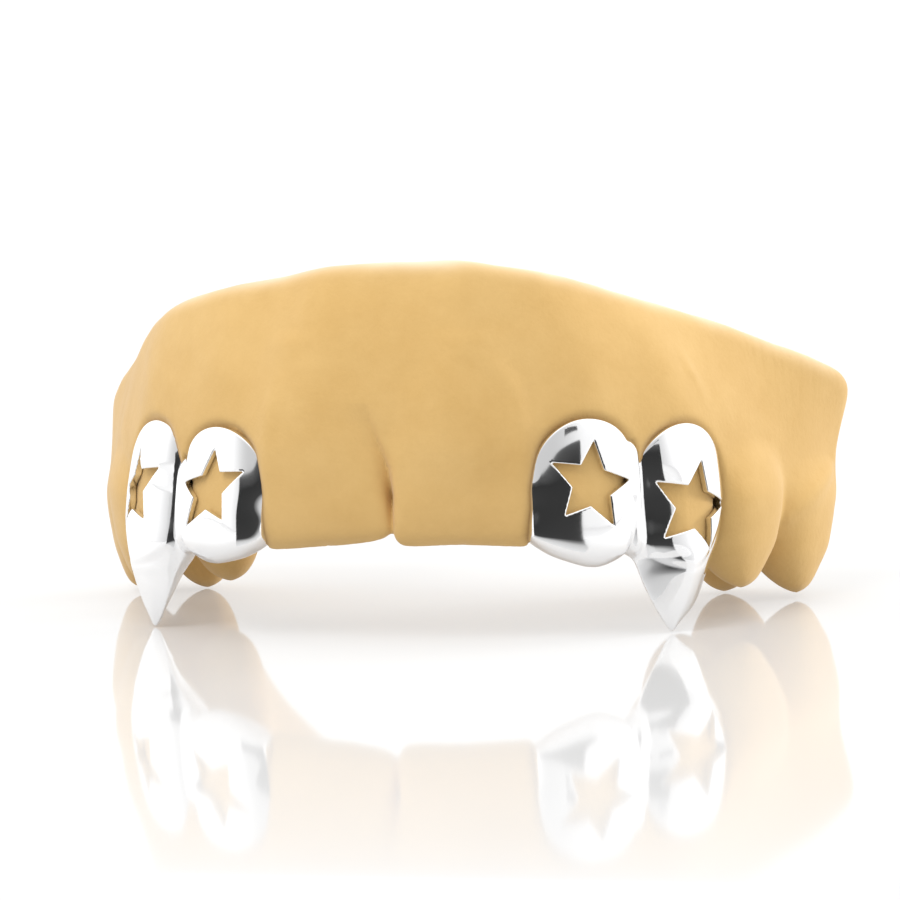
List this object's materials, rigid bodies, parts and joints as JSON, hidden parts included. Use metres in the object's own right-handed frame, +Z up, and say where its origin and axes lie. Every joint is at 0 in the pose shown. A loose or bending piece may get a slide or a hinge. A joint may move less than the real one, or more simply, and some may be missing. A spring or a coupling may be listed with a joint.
{
  "type": "fang grillz pair on a dental cast",
  "caption": "Pair of polished silver fang grills, each a lateral cap soldered to a pointed canine cap with star cut-outs, seated on a tan plaster dental cast that stands teeth down.",
  "frame": {"origin": "middle of the footprint, on the surface that the fang tips and the rear cusps stand on", "axes": "+Z up, -Y out of the front of the tooth arch, +X across the arch to the viewer's right"},
  "size_m": [0.0518, 0.0276, 0.0251],
  "materials": {
    "plaster": "matt cast dental stone, fine grain",
    "silver": "mirror polished"
  },
  "bodies": {
    "root": {"dental_cast": "plaster", "fang_grill_right": "silver", "fang_grill_left": "silver"}
  },
  "joints": []
}
